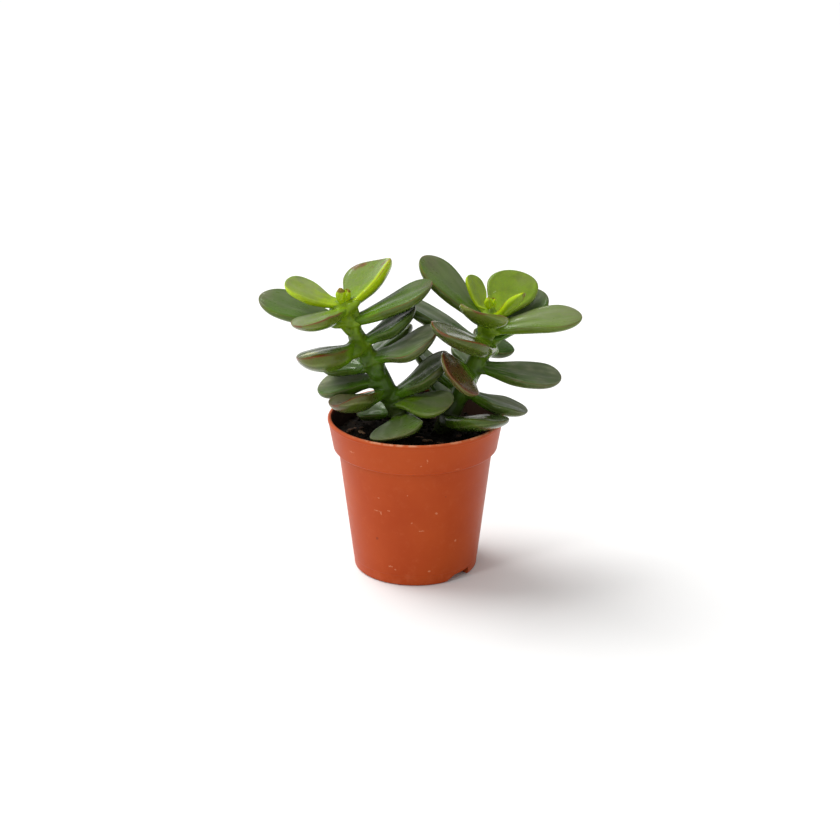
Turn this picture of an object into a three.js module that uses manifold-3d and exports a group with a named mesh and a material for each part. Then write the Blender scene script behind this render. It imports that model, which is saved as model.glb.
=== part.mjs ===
// A small jade plant in a round terracotta-coloured plastic nursery pot.
// Millimetres, +Z up, -Y is the front. The origin is the middle of the plant's own footprint, on the
// surface that the pot stands on, a little to the right of the pot's axis. Two rooted shoots grow from
// the soil, and each shoot carries thick leaves in pairs, one leaf on each side of the stem.
// Everything is placed from the pot's axis, and the whole plant is then moved to the origin.

import * as THREE from 'three';
import { mergeVertices } from 'three/addons/utils/BufferGeometryUtils.js';
import Module from 'manifold-3d';

const wasm = await Module();
wasm.setup();

// ---------------------------------------------------------------- driving dimensions

const GAP = 0.3;
const POT_AXIS = -1.5;

const POT = {
  height: 50,
  rimRadius: 27.5,
  collarHeight: 10.3,
  collarFootRadius: 25.8,
  collarRound: 0.5,
  shoulderRadius: 24.2,
  footRadius: 19.5,
  footRound: 0.5,
  wall: 1.1,
  lipRound: 0.35,
  footRing: 2,
  floorUnderside: 1.4,
  floorTop: 2.8,
  sides: 60,
};

// The pot stands on a ring, which a long notch lets the water out through on two sides. Seen from
// outside, a notch has a slanted left side and an upright right side.
const NOTCH = { turn: -47, leftFoot: 5.1, leftTop: 1.5, leftHeight: 2.1, right: 5.1, height: 2.6, cut: 5 };
const DRAIN = { holes: 4, radius: 2, at: 11, turn: -2, sides: 12 };

const SOIL = {
  top: 44.5,
  edgeWidth: 1.2,
  edgeDrop: 0.8,
  straightTo: 39,
  rings: 5,
  sides: 36,
  relief: 0.5,
  holeSides: 16,
  chips: 18,
  chipTurn: 137.5,
  chipPhase: 100,
  chipSize: [1.2, 2.3],
  chipSunk: 0.1,
};

const STEM = { sides: 12, steps: 26, nodeSwell: 0.15, nodeLength: 1.2, budSunk: 0.6 };

const LEAF = {
  sides: 12,
  steps: 9,
  crown: 0.25,
  squareness: 0.8,
  belly: 0.75,
  stalk: 0.42,
  stalkDepth: 0.75,
  widestAt: 0.62,
  thickestAt: 0.4,
  bow: -0.4,
  cup: 0.6,
  baseClearance: 0.4,
};

const COLOUR = {
  pot: 0xb9532f,
  soil: 0x1d1510,
  stem: 0x5a8a22,
  young: 0x8fb03a,
  mature: 0x55703f,
};

// Each shoot: the line of its stem from below the soil to its tip, its radius at the root, halfway
// and at the tip, and the bumps where an old leaf or a side bud sits on the stem.
const SHOOTS = {
  left: {
    line: [
      [0.6, 0, 37], [-1.2, 0, 44], [-3.4, 0, 48.3], [-6.2, 0, 53.3], [-8.6, 0, 57.5],
      [-13.3, 0, 67.5], [-16.3, 0, 72], [-19.2, 0, 78.5], [-21.6, 0, 84.5], [-22.2, 0, 87.4],
    ],
    radius: [3.0, 2.8, 1.8],
    bumps: [{ at: 76.2, turn: 275, size: 2.2 }, { at: 64.5, turn: 280, size: 2.3 }],
  },
  right: {
    line: [
      [6.6, 0, 37], [8.2, 0, 44], [10.2, 0, 49], [14, 0, 56.7], [17.2, 0, 63.4],
      [18.8, 0, 67.5], [21.2, 0, 74.5], [22.7, 0, 80.5], [23.7, 0, 85.2],
    ],
    radius: [3.0, 2.7, 1.6],
    bumps: [],
  },
};

// Each leaf: the height of its node, the compass turn that it points in (0 is +X, 90 is the back),
// how steeply it rises, its length, width and thickness, its roll about its own length, how far
// its middle bows up from a straight line, and from, the side of the stem that it grows from
// where that isn't the side it points to.
const LEAVES = {
  left: [
    { at: 87.0, turn: 174, rise: 24, long: 16.2, wide: 12, thick: 3.0, roll: -14, young: 1 },
    { at: 86.0, turn: 56, rise: 30.5, long: 19, wide: 20.5, thick: 4.6, roll: -12, cup: 2.3, young: 1 },
    { at: 85.3, turn: 226, rise: -3, long: 18, wide: 14, thick: 4.2, cup: 1, from: 250 },
    { at: 82.9, turn: 98, rise: 0, long: 12.5, wide: 9, thick: 2.6 },
    { at: 81.7, turn: 165, rise: 15, long: 26, wide: 16, thick: 4.0, roll: -3 },
    { at: 80.8, turn: 350, rise: 28, long: 26, wide: 16, thick: 4.4, roll: 4 },
    { at: 74.5, turn: 349, rise: 35, long: 17.8, wide: 14, thick: 4.4, roll: 6 },
    { at: 74.6, turn: 196, rise: -6, long: 17.4, wide: 16, thick: 7.2, roll: 4, cup: 0.4, from: 246 },
    { at: 68.5, turn: 62, rise: 11, long: 18, wide: 15, thick: 4.2 },
    { at: 68.2, turn: 328, rise: 27, long: 22, wide: 15, thick: 4.8, roll: 6, from: 350 },
    { at: 66.6, turn: 150, rise: 0, long: 15, wide: 13, thick: 3.6 },
    { at: 62.9, turn: 165, rise: -12, long: 17, wide: 15, thick: 4.2, roll: -6 },
    { at: 59.3, turn: 221, rise: 0, long: 16.5, wide: 15, thick: 4.8, cup: 2 },
    { at: 57.0, turn: 345, rise: 38, long: 20, wide: 15, thick: 5.0, roll: 8 },
    { at: 54.2, turn: 322, rise: 8, long: 19, wide: 13.6, thick: 3.6 },
    { at: 52.0, turn: 142, rise: 0, long: 11, wide: 13, thick: 3.8 },
    { at: 50.8, turn: 262, rise: -1, long: 19, wide: 17, thick: 3.6, roll: -13, from: 285 },
    { at: 49.0, turn: 85, rise: -2, long: 14, wide: 12, thick: 3.4 },
  ],
  right: [
    { at: 83.6, turn: 118, rise: 50, long: 12, wide: 7.4, thick: 2.2, from: 150, young: 1 },
    { at: 83.4, turn: 342, rise: 42, long: 12.6, wide: 3.6, thick: 2.2, roll: -30, from: 290, young: 1 },
    { at: 82.3, turn: 59, rise: 28, long: 20, wide: 16.4, thick: 3.6, young: 1 },
    { at: 82.0, turn: 258, rise: 24, long: 18, wide: 15.5, thick: 3.8, cup: 1.5 },
    { at: 81.0, turn: 145, rise: 37, long: 26.8, wide: 15.8, thick: 4.2, roll: -6 },
    { at: 79.5, turn: 0, rise: 8, long: 26, wide: 15, thick: 4.2, roll: 10, bow: 0.5, cup: 0.6 },
    { at: 75.5, turn: 42, rise: 28, long: 23.5, wide: 14, thick: 4.2 },
    { at: 74.6, turn: 234, rise: 23, long: 28, wide: 19, thick: 4.8, cup: 1.6, from: 297 },
    { at: 71.0, turn: 66, rise: 5, long: 12, wide: 14.5, thick: 4.4, roll: 8 },
    { at: 73.4, turn: 155, rise: 23, long: 27.6, wide: 14.8, thick: 4.4 },
    { at: 67.3, turn: 357, rise: -8, long: 23.5, wide: 15, thick: 4.2, roll: 12, cup: 0.6 },
    { at: 64.8, turn: 250, rise: 16, long: 20, wide: 17, thick: 3.8, roll: -26, cup: 1.4, from: 260 },
    { at: 64.4, turn: 90, rise: 4, long: 17, wide: 13, thick: 3.6 },
    { at: 58.9, turn: 347, rise: -15, long: 17.6, wide: 12.5, thick: 4.2 },
    { at: 57.6, turn: 136, rise: 28, long: 21, wide: 11, thick: 3.2, from: 130 },
    { at: 49.8, turn: 321, rise: 12.5, long: 22, wide: 15.6, thick: 4.6, roll: 8, bow: 0.2, from: 265 },
    { at: 52.0, turn: 105, rise: 20, long: 14, wide: 12, thick: 3.6 },
  ],
};

// The two smallest leaves at each tip, still folded together as a bud.
const BUDS = {
  left: [
    { at: 86.6, turn: 262, rise: 70, long: 4.4, wide: 3.4, thick: 1.6 },
    { at: 86.6, turn: 82, rise: 70, long: 3.8, wide: 3, thick: 1.4 },
  ],
  right: [
    { at: 84.6, turn: 240, rise: 74, long: 3.6, wide: 2.6, thick: 1.5 },
    { at: 84.6, turn: 60, rise: 74, long: 3.2, wide: 2.4, thick: 1.4 },
  ],
};

// ---------------------------------------------------------------- helpers

const radians = (degrees) => (degrees * Math.PI) / 180;
const smooth = (x) => x * x * (3 - 2 * x);
const clamp = (x) => Math.min(1, Math.max(0, x));
const compass = (turn) => new THREE.Vector3(Math.cos(radians(turn)), Math.sin(radians(turn)), 0);

function weld(geometry) {
  const bare = geometry.clone();
  bare.deleteAttribute('normal');
  bare.deleteAttribute('uv');
  return mergeVertices(bare, 1e-4);
}

function solid(geometry) {
  const welded = weld(geometry);
  const vertProperties = new Float32Array(welded.attributes.position.array);
  const triVerts = new Uint32Array(welded.index.array);
  return new wasm.Manifold(new wasm.Mesh({ numProp: 3, vertProperties, triVerts }));
}

function geometryOf(manifold) {
  const mesh = manifold.getMesh();
  const geometry = new THREE.BufferGeometry();
  geometry.setAttribute('position', new THREE.BufferAttribute(mesh.vertProperties, 3));
  geometry.setIndex(new THREE.BufferAttribute(mesh.triVerts, 1));
  geometry.computeVertexNormals();
  return geometry;
}

function moveVertices(geometry, move) {
  const welded = weld(geometry);
  const position = welded.attributes.position;
  const point = new THREE.Vector3();
  for (let i = 0; i < position.count; i += 1) {
    point.fromBufferAttribute(position, i);
    const moved = move(point);
    position.setXYZ(i, moved.x, moved.y, moved.z);
  }
  welded.computeVertexNormals();
  return welded;
}

const plant = new THREE.Group();
plant.position.setX(POT_AXIS);

function add(name, geometry, color, roughness) {
  const material = new THREE.MeshStandardMaterial({ color, roughness, metalness: 0 });
  const mesh = new THREE.Mesh(geometry, material);
  mesh.name = name;
  plant.add(mesh);
  return mesh;
}

// ---------------------------------------------------------------- pot

function lathe(profile, sides) {
  const points = profile.map(([r, z]) => new THREE.Vector2(r, z));
  const geometry = new THREE.LatheGeometry(points, sides);
  return geometry.rotateX(Math.PI / 2);
}

const shoulder = POT.height - POT.collarHeight;

function outerRadius(z) {
  return POT.footRadius + ((POT.shoulderRadius - POT.footRadius) * z) / shoulder;
}

function innerRadius(z) {
  if (z < shoulder) return outerRadius(z) - POT.wall;
  const up = (z - shoulder) / POT.collarHeight;
  return THREE.MathUtils.lerp(POT.collarFootRadius, POT.rimRadius, up) - POT.wall;
}

function potOutside() {
  const inFoot = POT.footRadius - POT.footRing;
  return [
    [0, POT.floorUnderside],
    [inFoot - POT.footRound, POT.floorUnderside],
    [inFoot, 0],
    [POT.footRadius - POT.footRound, 0],
    [outerRadius(POT.footRound), POT.footRound],
    [POT.shoulderRadius, shoulder - POT.collarRound],
    [POT.collarFootRadius - POT.collarRound, shoulder],
    [POT.collarFootRadius, shoulder + POT.collarRound],
    [POT.rimRadius, POT.height - POT.lipRound],
    [POT.rimRadius - POT.lipRound, POT.height],
  ];
}

function potInside() {
  return [
    [POT.rimRadius - POT.wall, POT.height - POT.lipRound],
    [innerRadius(shoulder + POT.wall), shoulder + POT.wall],
    [innerRadius(shoulder - POT.collarRound), shoulder - POT.collarRound],
    [innerRadius(POT.floorTop + POT.wall), POT.floorTop + POT.wall],
    [innerRadius(POT.floorTop) - POT.wall, POT.floorTop],
    [0, POT.floorTop],
  ];
}

function footNotch(turn) {
  const slope = (NOTCH.leftFoot - NOTCH.leftTop) / NOTCH.leftHeight;
  const below = 1;
  const outline = new THREE.Shape();
  outline.moveTo(NOTCH.leftFoot + slope * below, -below);
  outline.lineTo(NOTCH.leftTop, NOTCH.leftHeight);
  outline.lineTo(-NOTCH.right, NOTCH.height);
  outline.lineTo(-NOTCH.right, -below);
  const cutter = new THREE.ExtrudeGeometry(outline, { depth: NOTCH.cut, bevelEnabled: false });
  cutter.rotateX(Math.PI / 2);
  cutter.translate(0, POT.footRadius + below, 0);
  cutter.rotateZ(radians(turn - 90));
  return cutter;
}

function drainHole(turn) {
  const length = 3 * POT.floorTop;
  const hole = new THREE.CylinderGeometry(DRAIN.radius, DRAIN.radius, length, DRAIN.sides);
  hole.rotateX(Math.PI / 2);
  hole.translate(DRAIN.at, 0, POT.floorTop);
  hole.rotateZ(radians(turn));
  return hole;
}

function potGeometry() {
  let pot = solid(lathe([...potOutside(), ...potInside()], POT.sides));
  for (const turn of [NOTCH.turn, NOTCH.turn + 180]) pot = pot.subtract(solid(footNotch(turn)));
  for (let k = 0; k < DRAIN.holes; k += 1) {
    pot = pot.subtract(solid(drainHole(DRAIN.turn + (360 * k) / DRAIN.holes)));
  }
  return geometryOf(pot);
}

// ---------------------------------------------------------------- stems

function shootCurve(shoot) {
  const points = shoot.line.map(([x, y, z]) => new THREE.Vector3(x, y, z));
  return new THREE.CatmullRomCurve3(points, false, 'centripetal');
}

function atHeight(curve, height) {
  let low = 0;
  let high = 1;
  for (let i = 0; i < 30; i += 1) {
    const middle = (low + high) / 2;
    if (curve.getPoint(middle).z < height) low = middle;
    else high = middle;
  }
  return low;
}

function stemRadius(shoot, height) {
  const bottom = shoot.line[0][2];
  const top = shoot.line[shoot.line.length - 1][2];
  const up = clamp((height - bottom) / (top - bottom)) * 2;
  const [root, middle, tip] = shoot.radius;
  if (up < 1) return THREE.MathUtils.lerp(root, middle, up);
  return THREE.MathUtils.lerp(middle, tip, (up - 1) ** 2);
}

function frameAt(curve, u) {
  const along = curve.getTangent(u).normalize();
  const side = new THREE.Vector3(0, 1, 0).addScaledVector(along, -along.y).normalize();
  const out = new THREE.Vector3().crossVectors(along, side).normalize();
  return { along, side, out };
}

function stemTube(shoot, curve, heights) {
  const tube = new THREE.CylinderGeometry(1, 1, 1, STEM.sides, STEM.steps);
  return moveVertices(tube, (point) => {
    const u = clamp(point.y + 0.5);
    const centre = curve.getPoint(u);
    const { side, out } = frameAt(curve, u);
    const swell = heights.reduce((sum, at) => sum + Math.exp(-(((centre.z - at) / STEM.nodeLength) ** 2)), 0);
    const radius = stemRadius(shoot, centre.z) * (1 + STEM.nodeSwell * Math.min(1, swell));
    return centre.addScaledVector(out, point.x * radius).addScaledVector(side, point.z * radius);
  });
}

function bumpGeometry(shoot, curve, bump) {
  const ball = new THREE.SphereGeometry(bump.size, 10, 7);
  const centre = curve.getPoint(atHeight(curve, bump.at));
  const turn = radians(bump.turn);
  const reach = stemRadius(shoot, bump.at) - 0.35 * bump.size;
  return ball.translate(
    centre.x + reach * Math.cos(turn), centre.y + reach * Math.sin(turn), centre.z);
}

function stemGeometry(name) {
  const shoot = SHOOTS[name];
  const curve = shootCurve(shoot);
  const heights = [...new Set(LEAVES[name].map((leaf) => leaf.at))];
  let stem = solid(stemTube(shoot, curve, heights));
  for (const bump of shoot.bumps) stem = stem.add(solid(bumpGeometry(shoot, curve, bump)));
  for (const bud of BUDS[name]) stem = stem.add(solid(leafGeometry(name, bud, STEM.budSunk)));
  return geometryOf(stem);
}

// ---------------------------------------------------------------- leaves

function halfWidth(t) {
  if (t < LEAF.widestAt) return LEAF.stalk + (1 - LEAF.stalk) * smooth(t / LEAF.widestAt);
  return Math.sqrt(Math.max(0, 1 - ((t - LEAF.widestAt) / (1 - LEAF.widestAt)) ** 2.3));
}

function depth(t) {
  if (t < LEAF.thickestAt) return LEAF.stalkDepth + (1 - LEAF.stalkDepth) * smooth(t / LEAF.thickestAt);
  return Math.max(0, 1 - ((t - LEAF.thickestAt) / (1 - LEAF.thickestAt)) ** 2.4) ** 0.6;
}

function leafFrame(shoot, leaf, sunk) {
  const curve = shootCurve(shoot);
  const u = atHeight(curve, leaf.at);
  const { along } = frameAt(curve, u);
  const rise = radians(leaf.rise);
  const axis = compass(leaf.turn).multiplyScalar(Math.cos(rise)).setZ(Math.sin(rise));
  const out = compass(leaf.from ?? leaf.turn);
  out.addScaledVector(along, -out.dot(along)).normalize();
  const up = along.clone().addScaledVector(axis, -along.dot(axis)).normalize();
  up.applyAxisAngle(axis, radians(leaf.roll ?? 0));
  const side = new THREE.Vector3().crossVectors(axis, up);
  const slant = Math.sqrt(Math.max(0, 1 - axis.dot(out) ** 2));
  const clear = GAP + LEAF.baseClearance * leaf.thick * slant;
  const reach = stemRadius(shoot, leaf.at) * (1 + STEM.nodeSwell) + (sunk ? -sunk : clear);
  const base = curve.getPoint(u).addScaledVector(out, reach);
  return { base, axis, up, side };
}

function leafGeometry(name, leaf, sunk = 0) {
  const { base, axis, up, side } = leafFrame(SHOOTS[name], leaf, sunk);
  const ball = new THREE.SphereGeometry(1, LEAF.sides, LEAF.steps);
  return moveVertices(ball, (point) => {
    const t = clamp((1 - point.y) / 2);
    const ring = Math.hypot(point.x, point.z);
    const across = ring > 1e-6 ? point.x / ring : 0;
    const above = ring > 1e-6 ? -point.z / ring : 0;
    const shell = above > 0 ? LEAF.crown * above : (LEAF.crown - 1) * (-above) ** LEAF.belly;
    const spread = halfWidth(t) * Math.sign(across) * Math.abs(across) ** LEAF.squareness;
    const bow = (leaf.bow ?? LEAF.bow) * 4 * t * (1 - t);
    const cup = (leaf.cup ?? LEAF.cup) * spread ** 2;
    return base
      .clone()
      .addScaledVector(axis, leaf.long * t)
      .addScaledVector(side, (leaf.wide / 2) * spread)
      .addScaledVector(up, leaf.thick * depth(t) * shell + bow + cup);
  });
}

// ---------------------------------------------------------------- soil

function relief(x, y) {
  const wave = Math.sin(x * 0.9 + 1) * Math.cos(y * 0.8) + 0.6 * Math.sin(y * 1.7);
  return SOIL.top + SOIL.relief * wave;
}

function soilMound() {
  const bottom = POT.floorTop + GAP;
  const edge = innerRadius(SOIL.top) - GAP - SOIL.edgeWidth;
  const profile = [
    [0, bottom],
    [innerRadius(POT.floorTop) - POT.wall - GAP, bottom],
    [innerRadius(POT.floorTop + POT.wall) - GAP, bottom + POT.wall],
    [innerRadius(SOIL.straightTo) - GAP, SOIL.straightTo],
    [edge, SOIL.top - SOIL.edgeDrop],
  ];
  for (let k = 1; k <= SOIL.rings; k += 1) profile.push([edge * (1 - k / SOIL.rings), SOIL.top]);
  return moveVertices(lathe(profile, SOIL.sides), (point) => {
    if (point.z < SOIL.top) return point;
    return point.setZ(relief(point.x, point.y));
  });
}

function stemHole(shoot) {
  const curve = shootCurve(shoot);
  const top = curve.getPoint(atHeight(curve, SOIL.top + 3));
  const low = new THREE.Vector3(...shoot.line[0]);
  low.z -= GAP;
  const radius = shoot.radius[0] * (1 + STEM.nodeSwell) + GAP;
  const hole = new THREE.CylinderGeometry(radius, radius, top.distanceTo(low), SOIL.holeSides);
  const upright = new THREE.Vector3(0, 1, 0);
  const lean = top.clone().sub(low).normalize();
  hole.applyQuaternion(new THREE.Quaternion().setFromUnitVectors(upright, lean));
  const middle = low.add(top).multiplyScalar(0.5);
  return hole.translate(middle.x, middle.y, middle.z);
}

// A chip of bark that lies on the soil, part sunk. The chips follow a sunflower's spiral.
function barkChip(k) {
  const share = (k + 0.5) / SOIL.chips;
  const reach = (innerRadius(SOIL.top) - 2 * SOIL.edgeWidth - SOIL.chipSize[1]) * Math.sqrt(share);
  const place = compass(SOIL.chipPhase + SOIL.chipTurn * k).multiplyScalar(reach);
  const size = THREE.MathUtils.lerp(...SOIL.chipSize, (k * 0.37) % 1);
  const chip = new THREE.IcosahedronGeometry(1, 0);
  chip.scale(size, 0.6 * size, 0.4 * size);
  chip.rotateZ(k * 2.4).rotateY(0.3 * Math.sin(k));
  return chip.translate(place.x, place.y, relief(place.x, place.y) - SOIL.chipSunk * size);
}

function soilGeometry() {
  let soil = solid(soilMound());
  for (let k = 0; k < SOIL.chips; k += 1) soil = soil.add(solid(barkChip(k)));
  for (const shoot of Object.values(SHOOTS)) soil = soil.subtract(solid(stemHole(shoot)));
  return geometryOf(soil);
}

// ---------------------------------------------------------------- the whole plant

add('pot', potGeometry(), COLOUR.pot, 0.55);
add('soil', soilGeometry(), COLOUR.soil, 0.95);
for (const name of Object.keys(SHOOTS)) {
  add(`stem_${name}`, stemGeometry(name), COLOUR.stem, 0.5);
  LEAVES[name].forEach((leaf, k) => {
    const number = String(k + 1).padStart(2, '0');
    const color = leaf.young ? COLOUR.young : COLOUR.mature;
    add(`leaf_${name}_${number}`, leafGeometry(name, leaf), color, 0.4);
  });
}

export default plant;
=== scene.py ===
import math
import random

import bmesh
import bpy
from mathutils import Matrix, Vector, noise


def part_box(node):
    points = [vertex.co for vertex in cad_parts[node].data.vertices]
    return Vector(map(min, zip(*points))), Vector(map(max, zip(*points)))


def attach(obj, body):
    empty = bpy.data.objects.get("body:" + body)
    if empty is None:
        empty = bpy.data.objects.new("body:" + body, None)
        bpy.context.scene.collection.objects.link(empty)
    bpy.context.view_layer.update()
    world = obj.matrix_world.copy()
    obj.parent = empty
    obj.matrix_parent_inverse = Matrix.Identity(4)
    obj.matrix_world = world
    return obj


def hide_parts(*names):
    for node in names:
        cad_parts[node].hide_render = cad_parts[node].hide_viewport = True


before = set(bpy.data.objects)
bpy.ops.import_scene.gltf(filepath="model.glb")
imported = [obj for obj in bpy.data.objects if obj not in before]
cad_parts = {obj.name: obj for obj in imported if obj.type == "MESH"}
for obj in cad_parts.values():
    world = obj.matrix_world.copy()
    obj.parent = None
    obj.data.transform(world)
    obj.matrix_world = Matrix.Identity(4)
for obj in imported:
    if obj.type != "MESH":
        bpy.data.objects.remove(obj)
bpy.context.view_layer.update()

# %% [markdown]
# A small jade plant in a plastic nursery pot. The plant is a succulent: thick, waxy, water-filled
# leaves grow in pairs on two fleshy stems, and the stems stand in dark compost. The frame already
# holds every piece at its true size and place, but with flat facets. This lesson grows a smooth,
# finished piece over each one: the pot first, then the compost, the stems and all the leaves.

MM = 0.001
SAME_POINT = 1e-6
Z = Vector((0, 0, 1))
scene = bpy.context.scene


def add(name, data):
    made = bpy.data.objects.new(name, data)
    scene.collection.objects.link(made)
    return made


def aim(thing, direction):
    thing.rotation_euler = direction.to_track_quat("-Z", "Y").to_euler()


# %% [markdown]
# The camera stands where the photographer's did: about 60 cm away, a little above the plant and
# looking down on it by some twenty degrees, so that the pot's rim shows as an ellipse. It could be
# turned by hand until the picture looked right, but three measures taken from the picture say it
# exactly: the distance, the height and the width of the view.

# %% Camera
CAMERA_AT = Vector((-0.05, -562.7, 256.5)) * MM
CAMERA_AIM = Vector((-0.05, 0, 48.3)) * MM
SENSOR = 36
LENS = 81.9

camera_data = bpy.data.cameras.new("camera")
camera_data.sensor_width = SENSOR
camera_data.lens = LENS
camera_data.clip_start = 0.01
camera_data.clip_end = 50
camera = add("camera", camera_data)
camera.location = CAMERA_AT
aim(camera, CAMERA_AIM - CAMERA_AT)
scene.camera = camera
print("camera distance", round((CAMERA_AIM - CAMERA_AT).length / MM), "mm")

# %% [markdown]
# A finish is a small network of nodes. Written out in full, each one takes many lines, so a helper
# class holds one network and gives its usual nodes short names. A value can be a number, a colour or
# another node's output: `feed` sees which it is and either writes it into the socket or joins a wire
# to it. A finish is a network that ends in a material.


# %% A short way to write materials
class Network:
    def __init__(self, owner):
        owner.use_nodes = True
        self.owner = owner
        self.nodes = owner.node_tree.nodes
        self.links = owner.node_tree.links

    def feed(self, socket, value):
        if isinstance(value, bpy.types.NodeSocket):
            self.links.new(value, socket)
        elif isinstance(value, tuple) and len(value) == 3 and socket.type == "RGBA":
            socket.default_value = (*value, 1)
        else:
            socket.default_value = value

    def node(self, kind, values, **settings):
        made = self.nodes.new("ShaderNode" + kind)
        for key, value in settings.items():
            setattr(made, key, value)
        for key, value in values.items():
            self.feed(made.inputs[key], value)
        return made

    def maths(self, operation, a, b=0.0):
        return self.node("Math", {0: a, 1: b}, operation=operation).outputs[0]

    def times(self, a, *others):
        for b in others:
            a = self.maths("MULTIPLY", a, b)
        return a

    def band(self, value, low, high, to_low=0.0, to_high=1.0):
        values = {"Value": value, "From Min": low, "From Max": high, "To Min": to_low, "To Max": to_high}
        return self.node("MapRange", values, interpolation_type="SMOOTHSTEP").outputs[0]

    def ridge(self, value, centre, half_width):
        away = self.maths("ABSOLUTE", self.maths("SUBTRACT", value, centre))
        return self.band(away, half_width, 0)

    def stray(self, value, grain, reach):
        return self.maths("ADD", value, self.band(grain, 0.3, 0.7, -reach, reach))

    def blend(self, share, a, b):
        return self.node("Mix", {0: share, 6: a, 7: b}, data_type="RGBA").outputs[2]

    def parts(self, vector):
        return self.node("SeparateXYZ", {0: vector}).outputs

    def place(self):
        return self.node("TexCoord", {}).outputs["Object"]

    def own(self, name):
        return self.parts(self.node("Attribute", {}, attribute_name=name).outputs["Vector"])

    def scaled(self, vector, scale):
        return self.node("Mapping", {"Vector": vector, "Scale": scale}).outputs[0]

    def grain(self, vector, scale, detail=3.0, rough=0.5, warp=0.0):
        values = {"Vector": vector, "Scale": scale, "Detail": detail, "Roughness": rough}
        return self.node("TexNoise", {**values, "Distortion": warp}).outputs[0]

    def cells(self, vector, scale):
        return self.node("TexVoronoi", {"Vector": vector, "Scale": scale}).outputs[0]

    def bump(self, height, distance, strength=1.0, below=None):
        made = self.node("Bump", {"Height": height, "Distance": distance, "Strength": strength})
        if below is not None:
            self.feed(made.inputs["Normal"], below)
        return made.outputs[0]


class Finish(Network):
    def __init__(self, name):
        super().__init__(bpy.data.materials.new(name))

    def wear(self, **sockets):
        shader = self.nodes["Principled BSDF"]
        for key, value in sockets.items():
            self.feed(shader.inputs[key.replace("_", " ").title().replace("Ior", "IOR")], value)
        return self.owner


print("finish helper ready")

# %% [markdown]
# Every piece ends the same way: its bmesh becomes a mesh, the mesh gets smooth shading, and the new
# object rides on the frame and hides the plain solid that it stands for. Edges that are truly sharp
# stay sharp, which is decided by the angle between their two faces.

# %% Turning a bmesh into a finished piece
SHARP = math.radians(40)


def new_object(name, bm):
    mesh = bpy.data.meshes.new(name)
    bm.to_mesh(mesh)
    bm.free()
    return add(name, mesh)


def finish_piece(name, bm, material, node=None, sharp=SHARP):
    for face in bm.faces:
        face.smooth = True
    for edge in bm.edges:
        edge.smooth = len(edge.link_faces) != 2 or edge.calc_face_angle(0) < sharp
    piece = new_object(name, bm)
    piece.data.materials.append(material)
    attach(piece, "root")
    if node:
        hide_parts(node)


def merged_copy(node):
    bm = bmesh.new()
    bm.from_mesh(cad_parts[node].data)
    bmesh.ops.remove_doubles(bm, verts=bm.verts, dist=SAME_POINT)
    return bm


print("piece helper ready")

# %% [markdown]
# The pot is thin moulded plastic the colour of terracotta: a straight taper, a deep collar that
# stands out at the top, a rolled lip and a foot ring. It could be a cylinder pushed about by hand,
# but a moulded pot is a turned shape, so its wall is drawn once as a half section and spun. The
# frame says where the axis is and how wide and high the pot is.

# %% The pot's section
POT_LOW, POT_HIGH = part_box("pot")
POT_AXIS = Vector(((POT_LOW.x + POT_HIGH.x) / 2, (POT_LOW.y + POT_HIGH.y) / 2, 0))
RIM = (POT_HIGH.x - POT_LOW.x) / 2
POT_TOP = POT_HIGH.z
COLLAR = 10.3 * MM
COLLAR_FOOT = 25.8 * MM
SHOULDER_RADIUS = 24.2 * MM
FOOT = 19.5 * MM
FOOT_RING = 2 * MM
FLOOR_UNDER = 1.4 * MM
FLOOR_TOP = 2.8 * MM
WALL = 1.1 * MM
LIP = 0.35 * MM
MOULD_LINE = 3.4 * MM
MOULD_RIDGE = 0.09 * MM
POT_STEPS = 160
EDGE_FROM = math.radians(14)
EDGE_ROUND = 0.16 * MM
EDGE_SEGMENTS = 3

shoulder = POT_TOP - COLLAR


def wall_outside(z):
    return FOOT + (SHOULDER_RADIUS - FOOT) * z / shoulder


def wall_inside(z):
    if z < shoulder:
        return wall_outside(z) - WALL
    return COLLAR_FOOT + (RIM - COLLAR_FOOT) * (z - shoulder) / COLLAR - WALL


def pot_section():
    edge = 0.5 * MM
    foot_inside = FOOT - FOOT_RING
    return [
        (0, FLOOR_UNDER),
        (foot_inside - edge, FLOOR_UNDER),
        (foot_inside, 0),
        (FOOT - edge, 0),
        (wall_outside(edge), edge),
        (wall_outside(MOULD_LINE) - MOULD_RIDGE, MOULD_LINE),
        (wall_outside(MOULD_LINE), MOULD_LINE + MOULD_RIDGE),
        (SHOULDER_RADIUS, shoulder - edge),
        (SHOULDER_RADIUS + edge, shoulder + 0.1 * MM),
        (COLLAR_FOOT - edge, shoulder),
        (COLLAR_FOOT, shoulder + edge),
        (RIM - 2 * MOULD_RIDGE, POT_TOP - 1.3 * MM),
        (RIM, POT_TOP - 1.1 * MM),
        (RIM, POT_TOP - LIP),
        (RIM - LIP, POT_TOP),
        (RIM - WALL + LIP / 2, POT_TOP),
        (RIM - WALL, POT_TOP - LIP),
        (wall_inside(shoulder + WALL), shoulder + WALL),
        (wall_inside(shoulder - edge), shoulder - edge),
        (wall_inside(FLOOR_TOP + WALL), FLOOR_TOP + WALL),
        (wall_inside(FLOOR_TOP) - WALL, FLOOR_TOP),
        (0, FLOOR_TOP),
    ]


print("pot rim", round(2 * RIM / MM, 1), "mm, height", round(POT_TOP / MM, 1), "mm")


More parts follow.
